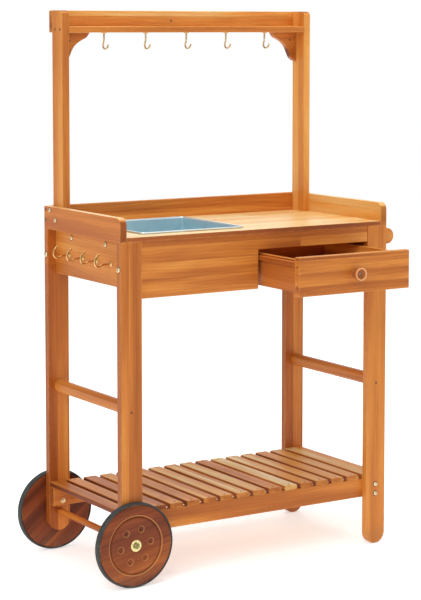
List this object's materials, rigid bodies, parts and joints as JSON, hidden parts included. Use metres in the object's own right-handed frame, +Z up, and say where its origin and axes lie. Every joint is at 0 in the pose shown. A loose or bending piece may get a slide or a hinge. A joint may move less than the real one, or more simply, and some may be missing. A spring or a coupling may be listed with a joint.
{
  "type": "potting bench",
  "caption": "Wheeled wooden potting bench with a drop-in metal basin, drawer, slatted lower shelf, push handle and overhead shelf with cup hooks.",
  "frame": {"origin": "Centre of the bounding box in plan, on the floor, with the drawer open as it rests.", "axes": "+Z up; +Y towards the back of the bench; +X towards the push handle end, so the wheels are at -X and the drawer opens towards -Y."},
  "size_m": [0.9204, 0.6226, 1.415],
  "materials": {
    "oiled_acacia": "oiled acacia boards, rounded arrises, soft satin sheen",
    "light_acacia": "oiled acacia, pale sapwood boards, satin sheen",
    "dark_acacia": "oiled acacia, reddish heartwood",
    "brass_wire": "brass-plated steel wire, lightly dulled",
    "tyre_rubber": "matt black rubber band",
    "galvanised_sheet": "galvanised sheet with a rolled bright rim"
  },
  "bodies": {
    "frame": {"leg_front_left": "oiled_acacia", "leg_rear_left": "oiled_acacia", "leg_front_right": "oiled_acacia", "leg_rear_right": "oiled_acacia", "apron_front": "oiled_acacia", "apron_rear": "oiled_acacia", "end_panel_left": "dark_acacia", "end_panel_right": "oiled_acacia", "worktop": "light_acacia", "gallery_left": "oiled_acacia", "gallery_right": "oiled_acacia", "gallery_rear": "oiled_acacia", "hutch_post_left": "oiled_acacia", "hutch_post_right": "oiled_acacia", "hutch_back_board": "light_acacia", "hutch_shelf": "light_acacia", "hutch_bracket_left": "dark_acacia", "hutch_bracket_right": "dark_acacia", "stretcher_left": "oiled_acacia", "stretcher_right": "dark_acacia", "shelf_rail_front": "oiled_acacia", "shelf_rail_rear": "oiled_acacia", "shelf_slat_01": "oiled_acacia", "shelf_slat_02": "light_acacia", "shelf_slat_03": "oiled_acacia", "shelf_slat_04": "light_acacia", "shelf_slat_05": "oiled_acacia", "shelf_slat_06": "light_acacia", "shelf_slat_07": "oiled_acacia", "shelf_slat_08": "light_acacia", "shelf_slat_09": "oiled_acacia", "shelf_slat_10": "light_acacia", "shelf_slat_11": "oiled_acacia", "shelf_slat_12": "light_acacia", "shelf_slat_13": "oiled_acacia", "shelf_slat_14": "light_acacia", "shelf_slat_15": "oiled_acacia", "shelf_slat_16": "light_acacia", "axle_rod": "oiled_acacia", "push_handle": "oiled_acacia", "top_hook_1": "brass_wire", "top_hook_2": "brass_wire", "top_hook_3": "brass_wire", "top_hook_4": "brass_wire", "top_hook_5": "brass_wire", "side_hook_1": "brass_wire", "side_hook_2": "brass_wire", "side_hook_3": "brass_wire", "side_hook_4": "brass_wire"},
    "drawer": {"drawer_front": "light_acacia", "drawer_side_left": "oiled_acacia", "drawer_side_right": "oiled_acacia", "drawer_back": "oiled_acacia", "drawer_bottom": "light_acacia", "drawer_knob": "light_acacia"},
    "wheel_front": {"wheel_front_disc": "dark_acacia", "wheel_front_tyre": "tyre_rubber"},
    "wheel_rear": {"wheel_rear_disc": "dark_acacia", "wheel_rear_tyre": "tyre_rubber"},
    "basin": {"basin": "galvanised_sheet"}
  },
  "joints": [
    {"name": "drawer_slide", "type": "slide", "parent": "frame", "child": "drawer", "axis": [0, -1, 0], "range_m": [-0.178, 0.12]},
    {"name": "wheel_front_spin", "type": "hinge", "parent": "frame", "child": "wheel_front", "pos_m": [-0.35425, -0.11875, 0.106], "axis": [0, 1, 0], "continuous": true},
    {"name": "wheel_rear_spin", "type": "hinge", "parent": "frame", "child": "wheel_rear", "pos_m": [-0.35425, 0.30225, 0.106], "axis": [0, 1, 0], "continuous": true},
    {"name": "basin_lift", "type": "slide", "parent": "frame", "child": "basin", "axis": [0, 0, 1], "range_m": [0, 0.15]}
  ]
}
